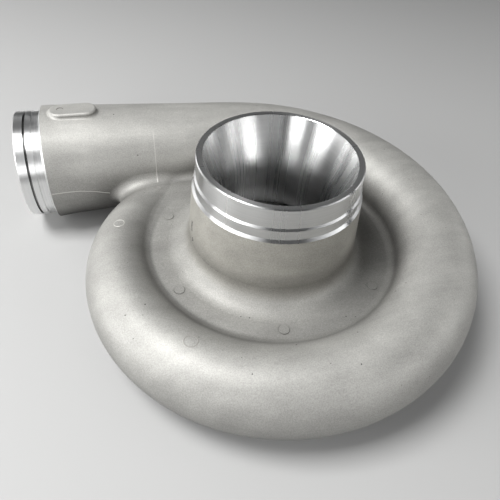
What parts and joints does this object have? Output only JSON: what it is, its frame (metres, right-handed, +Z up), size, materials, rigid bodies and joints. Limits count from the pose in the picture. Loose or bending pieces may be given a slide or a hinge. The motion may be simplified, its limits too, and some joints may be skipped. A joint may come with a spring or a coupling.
{
  "type": "turbocharger compressor housing",
  "caption": "One-piece cast aluminium compressor housing with a growing scroll, a straight outlet duct with a grooved spigot, a turned conical inlet and a bolted rear register.",
  "frame": {"origin": "centre of the rear bolt circle, on the rear flange face that the housing rests on", "axes": "+Z runs up along the inlet axis to the inlet rim; the outlet duct leaves along -X at positive Y; the scroll winds counter-clockwise seen from the inlet"},
  "size_m": [0.3877, 0.374, 0.146],
  "materials": {
    "cast_aluminium": "blasted sand-grey casting skin, with bright turned metal at the inlet, the outlet collar and the rear bores"
  },
  "bodies": {
    "root": {"compressor_housing": "cast_aluminium"}
  },
  "joints": []
}
